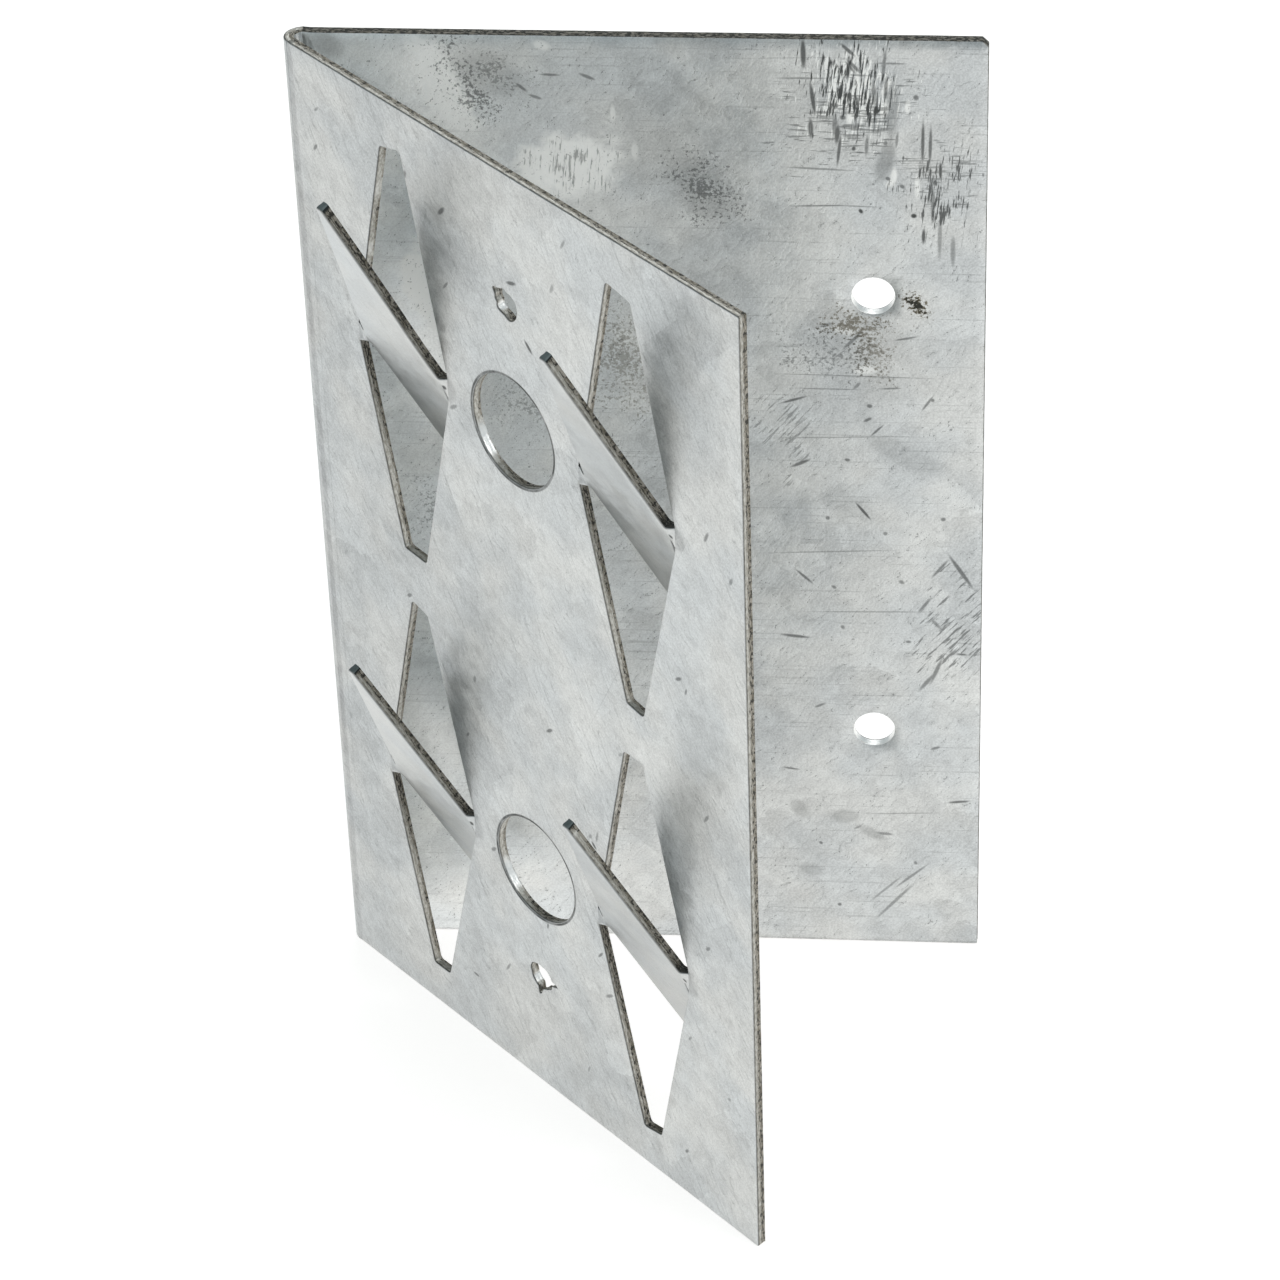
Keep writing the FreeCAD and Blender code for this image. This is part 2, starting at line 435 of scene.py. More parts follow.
def blank_points(rim, inner_points):
    """Every row of every rim, then the inner points of both faces, and where each part starts."""
    parts = [row for rows in rim for row in rows]
    for out in (HALF, -HALF):
        parts.append(np.column_stack([inner_points, np.full(len(inner_points), out)]))
    return np.concatenate(parts), np.cumsum([0] + [len(part) for part in parts])


def build_sheet(name, cuts, inner_points, place, columns=(), rollover=ROLLOVER):
    """One closed stretch of sheet. cuts are its outlines, the outer one first."""
    bm = bmesh.new()
    bm.loops.layers.float_vector.new("sheet_place")
    bm.loops.layers.float_vector.new("cut_place")
    rim = []
    for index, cut in enumerate(cuts):
        weight = cut_weight(cut.points, cut.plain)
        rim.append(edge_rows(cut.points, weight, 11.3 * index, rollover))
    faces_rim = [[rows[0][:, :2] for rows in rim], [rows[-1][:, :2] for rows in rim]]
    inner_points = inner_points[in_metal(inner_points, faces_rim[0])]
    inner_points = inner_points[clear_of(inner_points, faces_rim[0], CLEARANCE)]
    blank, starts = blank_points(rim, inner_points)
    depth = np.clip(blank[:, 2] / (HALF - rollover), -1, 1)
    verts = [bm.verts.new(point) for point in place(blank[:, 0], blank[:, 1], blank[:, 2])]

    row_of = 0
    flat_index = [[], []]
    for index, rows in enumerate(rim):
        flat_index[0] += list(range(starts[row_of], starts[row_of + 1]))
        last = row_of + len(rows) - 1
        flat_index[1] += list(range(starts[last], starts[last + 1]))
        wear = cuts[index].wear(cuts[index].points)
        add_edge_faces(bm, verts, (blank, depth), rows, starts[row_of:], index, wear)
        row_of += len(rows)
    for side in (0, 1):
        flat_index[side] += list(range(starts[row_of + side], starts[row_of + side + 1]))
        first_inner = sum(len(loop) for loop in faces_rim[side])
        chains = chains_along(columns, faces_rim[side][0], inner_points, first_inner)
        triangles = triangulated(faces_rim[side], inner_points, chains)
        add_flat_faces(bm, verts, blank, flat_index[side], triangles, 1 - 2 * side)
    return finished(name, bm)


def add_flat_faces(bm, verts, blank, indices, triangles, out):
    """The triangles of one face: out is 1 on the outer face and -1 on the inner one."""
    on_sheet = bm.loops.layers.float_vector["sheet_place"]
    for triangle in triangles:
        corners = [indices[v] for v in triangle]
        face = bm.faces.new([verts[v] for v in corners])
        face.tag = True
        for corner_loop, v in zip(face.loops, corners):
            corner_loop[on_sheet] = (blank[v, 0], blank[v, 1], out)


def add_edge_faces(bm, verts, places, rows, starts, index, wear):
    """Quads round a cut edge. The rounded rows are zinc and the rest is cut metal."""
    blank, depth = places
    on_sheet = bm.loops.layers.float_vector["sheet_place"]
    on_edge = bm.loops.layers.float_vector["cut_place"]
    count = len(rows[0])
    steps = np.linalg.norm(np.roll(rows[0], -1, 0) - rows[0], axis=1)
    along = np.concatenate([[0], np.cumsum(steps)]) + index
    lip = np.linspace(0.7, 0, FIRST_CUT_ROW + 1)
    for row in range(len(rows) - 1):
        for i in range(count):
            j = (i + 1) % count
            quad = [(row, i, i), (row, j, i + 1), (row + 1, j, i + 1), (row + 1, i, i)]
            vertex_ids = [starts[r] + around for r, around, _ in quad]
            face = bm.faces.new([verts[v] for v in vertex_ids])
            face.material_index = int(row >= FIRST_CUT_ROW)
            for corner_loop, v, (r, around, step) in zip(face.loops, vertex_ids, quad):
                corner_loop[on_sheet] = (blank[v, 0], blank[v, 1], lip[min(r, FIRST_CUT_ROW)])
                corner_loop[on_edge] = (along[step], depth[v], wear[around])


def finished(name, bm):
    """Turn a closed bmesh into a linked object, smooth but for the flats' outlines."""
    bmesh.ops.recalc_face_normals(bm, faces=bm.faces)
    for edge in bm.edges:
        if len(edge.link_faces) != 2:
            raise RuntimeError(f"{name} isn't closed")
        edge.smooth = edge.link_faces[0].tag == edge.link_faces[1].tag
    for face in bm.faces:
        face.smooth = True
    mesh = bpy.data.meshes.new(name)
    bm.to_mesh(mesh)
    bm.free()
    piece = bpy.data.objects.new(name, mesh)
    bpy.context.scene.collection.objects.link(piece)
    return piece


# ---- Pieces ----

def assign_zones(leaf):
    """Give each zinc face of the back leaf its zone's material."""
    for face in leaf.data.polygons:
        if face.material_index != 1:
            across, up = -run_on_back(face.center) / MM, face.center.z / MM
            for number, (left, right, low, high) in enumerate(BACK_ZONES):
                if left <= across < right and low <= up < high:
                    face.material_index = number + (number > 0)


def hole_place(name):
    """Centre on the blank and radius of a named hole of the front leaf."""
    mount = mounts[name]
    return (run_of(mount["pos_m"]), mount["pos_m"][2]), mount["dims"]["r_mm"] * MM


def window_wear(node, centre):
    """Blackest just under the necks, where the plate tore away."""
    level = PRONGS[node]["window_wear"]
    def wear(points):
        below = (centre[1] - NECK_RISE / 2 - points[:, 1]) / (14 * MM)
        patchy = level + 0.5 * (waver(points, centre[1] / MM, 9 * MM) - 0.5)
        return patchy + (0.95 - patchy) * np.where(below > 0, np.exp(-below ** 2), 0)
    return wear


def edge_wear(node, centre):
    """A plate's edge: blue-grey and black at the tips, then its own wear down to the neck."""
    at_tip, at_neck = PRONGS[node]["edge_wear"]
    def wear(points):
        share = np.abs(points[:, 1] - centre[1]) / (PLATE_RISE / 2)
        black = 1.4 * np.clip((share - 0.965) / 0.012, 0, 1) + 0.8 * (share > 0.992)
        root = 0.5 * np.exp(-(share / 0.12) ** 2)
        patchy = 0.4 * (waver(points, centre[1] / MM, 7 * MM) - 0.5)
        return np.maximum(at_neck + (at_tip - at_neck) * share + patchy + root, black)
    return wear


def hole_wear(centre):
    """A hole's wall: grey, with a painted highlight near white at lower left over its real burnish, and
    black at the bottom.
    """
    def wear(points):
        away = points - np.array(centre)
        turn = np.degrees(np.arctan2(away[:, 1], away[:, 0]))
        # Painted highlight: the wall is made near white at lower left, where its burnish catches the
        # light.
        burnished = 0.34 * np.exp(-((turn - BURNISH_HIGHLIGHT_AT) / 24) ** 2)
        return 0.36 - burnished + 0.5 * np.exp(-((turn - BLACKENED_AT) / 26) ** 2)
    return wear


def plate_nodes():
    """The CAD nodes of the tilted plates, with each one's centre on the blank."""
    places = {}
    for node in sorted(frame["nodes"]):
        if node.startswith("prong_plate_"):
            low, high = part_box(node)
            middle = (low + high) / 2
            places[node] = (run_of(middle), middle.z)
    return places


def make_back_leaf():
    """The plain leaf with its two nail holes and one clipped corner."""
    free = -BACK_RUN - BEND_ARC / 2
    root = -BEND_ARC / 2
    corners = [
        (free, 0, CORNER_RADIUS),
        (root, 0, 0),
        (root, RISE, 0),
        (free + CORNER_CLIP, RISE, CORNER_RADIUS),
        (free, RISE - CORNER_CLIP, CORNER_RADIUS),
    ]
    pattern = mounts["nail_holes"]
    radius = pattern["dims"]["hole_r_mm"] * MM
    run = run_on_back(pattern["pos_m"])
    cuts = [Cut(outline(corners), lambda points: points[:, 0] > root - TINY, even_wear(BACK_RIM_WEAR))]
    for sign in (-1, 1):
        rise = pattern["pos_m"][2] + sign * pattern["dims"]["spacing_y_mm"] / 2 * MM
        cuts.append(Cut(circle((run, rise), radius), never, even_wear(0.0)))
    return build_sheet("leaf_back", cuts, grid_points((free, 0), (root, RISE), GRID), folded)


def make_fold():
    """The bend, with fold lines that run its whole height."""
    columns = np.linspace(-BEND_ARC / 2, BEND_ARC / 2, FOLD_STEPS + 1)
    bottom = [(run, 0, 0) for run in columns]
    top = [(run, RISE, 0) for run in reversed(columns)]
    points = outline(bottom + top)
    limit = BEND_ARC / 2 - TINY
    rises = np.arange(GRID, RISE - GRID / 2, GRID)
    inner = np.array([(run, rise) for run in columns[1:-1] for rise in rises])
    cuts = [Cut(points, lambda p: np.abs(p[:, 0]) > limit, even_wear(FOLD_RIM_WEAR))]
    return build_sheet("fold", cuts, inner, folded, columns[1:-1])


def make_front_leaf(plates):
    """The leaf with the windows and the two sizes of round hole."""
    root = BEND_ARC / 2
    free = FRONT_RUN + BEND_ARC / 2
    corners = [
        (root, 0, 0), (free, 0, CORNER_RADIUS), (free, RISE, CORNER_RADIUS), (root, RISE, 0)]
    cuts = [Cut(outline(corners), lambda points: points[:, 0] < root + TINY, even_wear(FRONT_RIM_WEAR))]
    for node, centre in plates.items():
        points = outline(window_corners(centre, corner_strays(node)))[::-1]
        cuts.append(Cut(points, neck_roots(centre), window_wear(node, centre)))
    for name in LARGE_HOLES:
        centre, radius = hole_place(name)
        cuts.append(Cut(circle(centre, radius), never, hole_wear(centre)))
    for name, bites in SMALL_HOLE_BITES.items():
        centre, radius = hole_place(name)
        cuts.append(Cut(torn_hole(centre, radius * SMALL_HOLE_SHARE, bites), never, hole_wear(centre)))
    return build_sheet("leaf_front", cuts, grid_points((root, 0), (free, RISE), GRID), folded)


def neck_roots(centre):
    """Says which points of an outline lie where a neck joins the leaf."""
    return lambda points: np.abs(points[:, 0] - centre[0]) > WINDOW_WIDTH / 2 - TINY


def make_plate(node, centre):
    """A tilted plate and its necks."""
    reach = np.array([WINDOW_WIDTH, PLATE_RISE]) / 2
    points = outline(plate_corners(centre), 1.0 * MM)
    cuts = [Cut(points, neck_roots(centre), edge_wear(node, centre))]
    inner = grid_points(np.array(centre) - reach, np.array(centre) + reach, PLATE_GRID)
    name = node.replace("prong_plate", "prong")
    place = twisted(centre, PRONGS[node]["upper_tilt"])
    return build_sheet(name, cuts, inner, place, rollover=PLATE_ROLLOVER)


# ---- Materials ----

STROKE_TURN = math.radians(54)    # the wiped strokes fall this steeply towards the free edges
BLUISH_ZINC = (0.580, 0.598, 0.600, 1)
WARM_ZINC = (0.600, 0.605, 0.592, 1)
RUBBED_ZINC = (0.98, 0.98, 0.95, 1)
STAIN = (0.13, 0.11, 0.07, 1)
# Black of grime and scratches, and of the painted shade at cut lips, hole rims and neck ends.
GRIME_AND_SHADE = (0.04, 0.043, 0.041, 1)


class Nodes:
    """Short calls that add shader nodes to one material."""

    def __init__(self, name):
        self.material = bpy.data.materials.new(name)
        self.material.use_nodes = True
        self.tree = self.material.node_tree
        self.shader = self.tree.nodes["Principled BSDF"]

    def add(self, kind, inputs=None, **settings):
        """A node of that kind with its settings, and its inputs set or linked."""
        node = self.tree.nodes.new(kind)
        for key, value in settings.items():
            setattr(node, key, value)
        for key, value in (inputs or {}).items():
            self.feed(node.inputs[key], value)
        return node

    def feed(self, socket, value):
        """Link a socket's input from another node, or set its value."""
        if isinstance(value, bpy.types.NodeSocket):
            self.tree.links.new(value, socket)
        else:
            socket.default_value = value

    def maths(self, operation, a, b=0.0):
        """One arithmetic step."""
        return self.add("ShaderNodeMath", {0: a, 1: b}, operation=operation).outputs[0]

    def total(self, *values):
        """Add any number of values."""
        return functools.reduce(functools.partial(self.maths, "ADD"), values)

    def times(self, *values):
        """Multiply any number of values."""
        return functools.reduce(functools.partial(self.maths, "MULTIPLY"), values)

    def vector(self, operation, a, b):
        """One vector step."""
        return self.add("ShaderNodeVectorMath", {0: a, 1: b}, operation=operation).outputs[0]

    def turned(self, vector, angle):
        """Turn a vector in the sheet's plane."""
        node = self.add("ShaderNodeVectorRotate", {"Vector": vector, "Angle": angle},
                        rotation_type="Z_AXIS")
        return node.outputs[0]

    def attribute(self, name, scale):
        """An attribute's coordinates, scaled."""
        source = self.add("ShaderNodeAttribute", attribute_name=name).outputs["Vector"]
        return self.vector("MULTIPLY", source, scale)

    def noise(self, vector, scale, detail=2.0, roughness=0.5, seed=0.0, sided=False):
        """Fractal noise from 0 to 1, with a scale for each axis. Sided differs by face."""
        node = self.add("ShaderNodeVectorMath", {
            0: vector, 1: (*scale, 1), 2: (seed, seed * 0.7, seed * 1.3)}, operation="MULTIPLY_ADD")
        node = self.add("ShaderNodeTexNoise", {
            "Vector": node.outputs[0], "Scale": 1.0, "Detail": detail, "Roughness": roughness},
            noise_dimensions="3D" if sided else "2D")
        return node.outputs["Fac"]

    def span(self, value, low, high, to_low=0.0, to_high=1.0, straight=False):
        """Map a range of values on to another, smoothly and clamped unless straight."""
        node = self.add("ShaderNodeMapRange", {
            "Value": value, "From Min": low, "From Max": high, "To Min": to_low, "To Max": to_high})
        node.interpolation_type = "LINEAR" if straight else "SMOOTHSTEP"
        node.clamp = not straight
        return node.outputs[0]

    def mix(self, factor, a, b):
        """Mix two colours."""
        node = self.add("ShaderNodeMix", data_type="RGBA")
        self.feed(node.inputs["Factor"], factor)
        self.feed(node.inputs["A"], a)
        self.feed(node.inputs["B"], b)
        return node.outputs["Result"]

    def oval(self, place, centre, half, degrees, edge=1.0, strength=1.0, falling=False):
        """An oval that fades out over the outer share of it that edge gives.

        Falling, it goes on below nothing outside.
        """
        fitted = self.add("ShaderNodeMapping", {
            "Vector": place, "Location": (*centre, 0), "Rotation": (0, 0, math.radians(degrees)),
            "Scale": (*half, 1)}, vector_type="TEXTURE").outputs[0]
        length = self.add("ShaderNodeVectorMath", {0: fitted}, operation="LENGTH").outputs["Value"]
        return self.span(length, 1.0, 1.0 - edge, 0.0, strength, falling)


# How strongly each kind of wear shows on one zinc.
Look = namedtuple("Look", "contrast strokes tone pits hairs hair_turn")
# The fields that the zinc's pattern is made of.
Pattern = namedtuple("Pattern", "cloud mottle strokes fine arcs spangle")


class Surface:
    """The running values of a zinc surface. Its place is in millimetres of the blank."""

    def __init__(self, n, place, mottle):
        self.n = n
        self.place = place
        self.mottle = mottle
        self.dark = 0.0
        self.light = 0.0
        self.brown = 0.0

    def keep_to(self, mask):
        """Drop the marks outside the mask."""
        for kind in ("dark", "light", "brown"):
            if self.has(kind):
                setattr(self, kind, self.n.times(getattr(self, kind), mask))

    def has(self, kind):
        """Whether any mark of that kind has been made."""
        return isinstance(getattr(self, kind), bpy.types.NodeSocket)

    def darken(self, mask):
        """Blacken by the mask where it is more than before."""
        self.dark = self.n.maths("MAXIMUM", self.dark, mask)

    def lighten(self, mask):
        """Burnish by the mask where it is more than before."""
        self.light = self.n.maths("MAXIMUM", self.light, mask)

    def stain(self, mask):
        """Brown by the mask where it is more than before."""
        self.brown = self.n.maths("MAXIMUM", self.brown, mask)


# Marks strewn at random about a place on a leaf. The place and the spread round it are
# shares of the leaf's run and rise. The half length and half width in millimetres, the
# degrees and the strength are each drawn between two values.
Strewn = namedtuple("Strewn", "count middle spread length width degrees strength")
# A ragged patch at such a place: the peaks of a field, or plain cloud.
Patch = namedtuple("Patch", "field change middle half degrees strength reach", defaults=(0.5,))

# Where a patch's strength starts and is full, for cloud and for a field's peaks.
CLOUD_EDGE = (0.27, 0.50)
PEAK_EDGE = (0.90, 1.03)

FRONT_DARK = [
    Strewn(34, (0.5, 0.5), (0.48, 0.48), (0.8, 2.2), (0.35, 0.55), (35, 80), (0.35, 0.65)),
    Strewn(7, (0.5, 0.5), (0.45, 0.45), (0.9, 2.2), (0.4, 0.7), (-50, 60), (0.45, 0.8)),
    Strewn(2, (0.6, 0.3), (0.3, 0.2), (7, 10), (0.2, 0.2), (-60, -50), (0.15, 0.22)),
    Strewn(1, (0.75, 0.6), (0, 0), (65, 65), (0.16, 0.16), (63, 63), (0.13, 0.13)),
]
FRONT_SHADES = [Strewn(4, (0.5, 0.4), (0.4, 0.4), (10, 20), (5, 12), (20, 75), (0.02, 0.05))]
BACK_DARK = [
    Strewn(12, (0.80, 0.94), (0.07, 0.05), (2, 6), (0.35, 0.65), (84, 98), (0.5, 0.8)),
    Strewn(3, (0.79, 0.98), (0.03, 0.01), (2, 3), (0.4, 0.6), (-55, -45), (0.6, 0.7)),
    Strewn(7, (0.82, 0.90), (0.09, 0.08), (3, 9), (0.18, 0.3), (-4, 2), (0.4, 0.55)),
    Strewn(7, (0.93, 0.84), (0.04, 0.06), (2, 7), (0.35, 0.6), (88, 92), (0.4, 0.85)),
    Strewn(11, (0.83, 0.60), (0.14, 0.13), (1, 4.5), (0.3, 0.55), (-65, 60), (0.45, 0.8)),
    Strewn(10, (0.83, 0.30), (0.14, 0.20), (1, 4.5), (0.3, 0.55), (-60, 60), (0.45, 0.7)),
    Strewn(5, (0.94, 0.38), (0.03, 0.07), (3, 7), (0.4, 0.6), (50, 125), (0.5, 0.7)),
    Strewn(3, (0.90, 0.10), (0.06, 0.05), (6, 9), (0.3, 0.5), (38, 52), (0.35, 0.5)),
    Strewn(6, (0.82, 0.45), (0.08, 0.35), (10, 24), (0.17, 0.22), (-1, 4), (0.35, 0.45)),
    Strewn(4, (0.35, 0.95), (0.08, 0.02), (1.5, 3), (0.35, 0.5), (-45, 10), (0.5, 0.7)),
    Strewn(9, (0.85, 0.89), (0.11, 0.07), (0.5, 0.8), (0.5, 0.8), (0, 90), (0.55, 0.9)),
    Strewn(13, (0.80, 0.35), (0.14, 0.32), (0.5, 0.75), (0.5, 0.75), (0, 90), (0.5, 0.65)),
]
BACK_LIGHT = [
    Strewn(8, (0.80, 0.95), (0.06, 0.03), (1.5, 3.2), (0.6, 1.0), (60, 100), (0.75, 0.95)),
    Strewn(4, (0.88, 0.90), (0.03, 0.06), (1.5, 4), (0.6, 0.9), (50, 125), (0.65, 0.8)),
    Strewn(3, (0.48, 0.90), (0.08, 0.03), (2, 3), (0.6, 0.9), (85, 95), (0.5, 0.8)),
    Strewn(1, (0.35, 0.99), (0, 0), (2.5, 2.5), (1.3, 1.3), (-20, -20), (0.8, 0.8)),
    Strewn(2, (0.80, 0.68), (0.08, 0.04), (3, 3.6), (0.8, 1.4), (-60, 5), (0.4, 0.55)),
]
BACK_SHADES = [
    Strewn(1, (0.85, 0.88), (0, 0), (7, 8), (2.0, 2.0), (76, 76), (0.34, 0.34)),
    Strewn(1, (0.86, 0.93), (0, 0), (9, 9), (1.6, 1.6), (88, 88), (0.34, 0.34)),
    Strewn(1, (0.03, 0.99), (0, 0), (6, 6), (3.5, 3.5), (-35, -35), (0.3, 0.3)),
    Strewn(5, (0.75, 0.60), (0.15, 0.15), (12, 18), (2.5, 4.5), (-60, 25), (0.08, 0.14)),
    Strewn(4, (0.76, 0.12), (0.08, 0.05), (3, 5), (1.2, 2.4), (-60, 0), (0.18, 0.26)),
]
BACK_PATCHES = [
    Patch("cloud", "lighten", (0.20, 0.95), (17, 6), -65, 0.95),
    Patch("cloud", "lighten", (0.38, 0.87), (15, 10), 10, 0.95, 0.58),
    Patch("cloud", "lighten", (0.16, 0.74), (14, 6), 100, 0.95),
    Patch("cloud", "darken", (0.27, 0.96), (11, 7), -25, 0.20),
    Patch("cloud", "darken", (0.58, 0.85), (13, 8), -50, 0.16),
    Patch("cloud", "darken", (0.80, 0.70), (18, 11), -25, 0.09),
    Patch("speckle", "darken", (0.24, 0.95), (16, 7), -65, 0.65, 0.29),
    Patch("speckle", "darken", (0.27, 0.96), (12, 8), -25, 0.55, 0.25),
    Patch("speckle", "darken", (0.58, 0.85), (14, 9), -50, 0.65, 0.29),
    Patch("upright", "darken", (0.38, 0.87), (13, 9), 0, 0.55, 0.18),
    Patch("upright", "darken", (0.80, 0.95), (13, 15), 0, 0.90, 0.25),
    Patch("level", "darken", (0.80, 0.92), (17, 13), 0, 0.55, 0.20),
    Patch("between", "lighten", (0.80, 0.95), (13, 15), 0, 0.95, 0.25),
    Patch("upright", "darken", (0.93, 0.85), (11, 17), 0, 0.80, 0.21),
    Patch("level", "darken", (0.93, 0.87), (10, 10), 0, 0.45, 0.18),
    Patch("web", "darken", (0.96, 0.37), (20, 11), 80, 0.60, 0.19),
    Patch("web", "darken", (0.70, 0.60), (8, 14), 0, 0.45, 0.18),
    Patch("speckle", "stain", (0.80, 0.71), (13, 6), -5, 0.75, 0.30),
    Patch("speckle", "stain", (0.83, 0.68), (12, 7), 100, 0.60, 0.28),
    Patch("speckle", "darken", (0.77, 0.68), (17, 10), -35, 0.50, 0.22),
    Patch("speckle", "stain", (0.90, 0.73), (6, 3), -45, 1.0, 0.40),
    Patch("speckle", "darken", (0.90, 0.73), (5, 2), -45, 0.9, 0.35),
    Patch("speckle", "stain", (0.45, 0.67), (14, 20), 20, 0.50, 0.25),
    Patch("speckle", "stain", (0.30, 0.20), (14, 16), 10, 0.55, 0.25),
    Patch("speckle", "darken", (0.15, 0.50), (8, 12), 30, 0.45, 0.24),
    Patch("speckle", "darken", (0.30, 0.62), (11, 9), 40, 0.40, 0.25),
]
# The back leaf's zinc is made for one zone at a time, with only the marks that reach it:
# lowest and highest across, lowest and highest up.
BACK_ZONES = [
    (-20, 100, -5, 140), (-20, 100, 140, 260), (100, 170, -5, 90),
    (100, 170, 90, 190), (100, 128, 190, 260), (128, 170, 190, 260),
]
ZONE_OVERLAP = 5.0
MARK_SWELL = (1.05, 1.25)   # makes up for the faded rim of a mark's oval


def on_leaf(run, share):
    """The place on the blank, in millimetres, at a share of a leaf's run and rise."""
    return (BEND_ARC / 2 + share[0] * run) / MM, share[1] * RISE / MM


def strew(groups, run, seed):
    """Marks strewn over a leaf: (across, up, half length, half width, degrees, strength)."""
    draw = random.Random(seed)
    marks = []
    for group in groups:
        for _ in range(group.count):
            share = [a + b * draw.uniform(-1, 1) for a, b in zip(group.middle, group.spread)]
            sizes = (group.length, group.width, group.degrees, group.strength)
            marks.append((*on_leaf(run, share), *(draw.uniform(*size) for size in sizes)))
    return marks


def neck_marks(end, in_from_end, down, half, degrees, strength):
    """The same mark at one end, -1 or 1, of every prong's necks."""
    marks = []
    for centre in plate_nodes().values():
        across = centre[0] / MM + end * (WINDOW_WIDTH / 2 / MM - in_from_end)
        marks.append((across, centre[1] / MM - down, *half, degrees, strength))
    return marks


def fold_lines():
    """Two faint lines along the fold, pressed by the folding tool."""
    rise = RISE / 2 / MM
    return [(BEND_ARC / 2 / MM + gap, rise, rise, 0.2, 90, 0.14) for gap in (1.5, 3.5)]


def reaches(mark, zone):
    """Whether a mark comes into a zone or close to it."""
    across, up, length, width, degrees = mark[:5]
    turn = math.radians(degrees)
    half_across = math.hypot(length * math.cos(turn), width * math.sin(turn)) + ZONE_OVERLAP
    half_up = math.hypot(length * math.sin(turn), width * math.cos(turn)) + ZONE_OVERLAP
    return (zone[0] - half_across < across < zone[1] + half_across
            and zone[2] - half_up < up < zone[3] + half_up)


def add_marks(surface, marks, change):
    """Single scratches, dents and stains."""
    for across, up, length, width, degrees, strength in marks:
        half = (MARK_SWELL[0] * length, MARK_SWELL[1] * width)
        change(surface.n.oval(surface.place, (across, up), half, degrees, 0.6, strength))


def ring(surface, centre, radius):
    """Painted shade: the dark line round a punched hole, standing in for the shade on its rounded rim.
    """
    n = surface.n
    fitted = n.vector("SUBTRACT", surface.place, (*centre, 0))
    length = n.add("ShaderNodeVectorMath", {0: fitted}, operation="LENGTH").outputs["Value"]
    away = n.maths("ABSOLUTE", n.maths("SUBTRACT", length, radius + 0.35))
    surface.darken(n.times(n.span(away, 0.55, 0.25), n.span(surface.mottle, 0.3, 0.6, 0.5, 0.9)))


def scuff_front(surface):
    """The front leaf's own marks, with painted shade round the large holes and at the neck ends."""
    for name in LARGE_HOLES:
        centre, radius = hole_place(name)
        ring(surface, (centre[0] / MM, centre[1] / MM), radius / MM)
    add_marks(surface, strew(FRONT_SHADES, FRONT_RUN, 21), surface.darken)
    add_marks(surface, strew(FRONT_DARK, FRONT_RUN, 22), surface.darken)
    add_marks(surface, fold_lines(), surface.darken)
    paint_neck_shadows(surface)
    add_marks(surface, neck_marks(-1, 1.0, 0, (0.6, 0.6), 0, 0.6), surface.lighten)
    add_marks(surface, neck_marks(-1, 1.0, 3.0, (2.2, 1.1), -50, 0.45), surface.stain)


def scratch_fields(n, place, wanted):
    """The noise fields whose peaks make speckle and crossed scratches, as far as wanted."""
    makers = {
        "speckle": lambda: n.noise(place, (1.1, 1.1), 3, 0.7, 3),
        "upright": lambda: n.noise(n.turned(place, math.radians(6)), (1.7, 0.17), 3, 0.65, 5),
        "level": lambda: n.noise(place, (0.16, 1.7), 2, 0.6, 6),
        "web": lambda: n.noise(n.turned(place, math.radians(40)), (1.3, 0.14), 3, 0.65, 9),
        "between": lambda: n.maths("SUBTRACT", 1.0, makers["upright"]()),
    }
    return {name: makers[name]() for name in sorted(wanted)}


def scuff_back(surface, zone):
    """The back leaf's inner face: ragged patches, crossed scratches and stains."""
    n = surface.n
    patches = [
        (patch, (*on_leaf(BACK_RUN, patch.middle), *patch.half, patch.degrees))
        for patch in BACK_PATCHES]
    patches = [(patch, mark) for patch, mark in patches if reaches(mark, zone)]
    fields = scratch_fields(n, surface.place, {patch.field for patch, _ in patches} - {"cloud"})
    ragged = n.times(surface.mottle, 0.5)
    for patch, mark in patches:
        oval = n.oval(surface.place, mark[:2], patch.half, patch.degrees, 1.0, patch.reach, True)
        height = n.total(oval, ragged)
        edge = CLOUD_EDGE
        if patch.field != "cloud":
            height = n.total(fields[patch.field], height)
            edge = PEAK_EDGE
        getattr(surface, patch.change)(n.span(height, *edge, 0.0, patch.strength))
    for groups, seed, change in (
        (BACK_SHADES, 31, surface.darken), (BACK_DARK, 32, surface.darken),
        (BACK_LIGHT, 33, surface.lighten),
    ):
        marks = strew(groups, BACK_RUN, seed)
        add_marks(surface, [mark for mark in marks if reaches(mark, zone)], change)


def paint_neck_shadows(surface):
    """Painted shadow: a dark dot where each neck ends beside its plate, standing in for the shade deep
    in the end of the slit.
    """
    add_marks(surface, neck_marks(1, 1.3, 0, (0.9, 0.7), -15, 0.85), surface.darken)


def leave_plain(surface):
    """No marks of its own."""


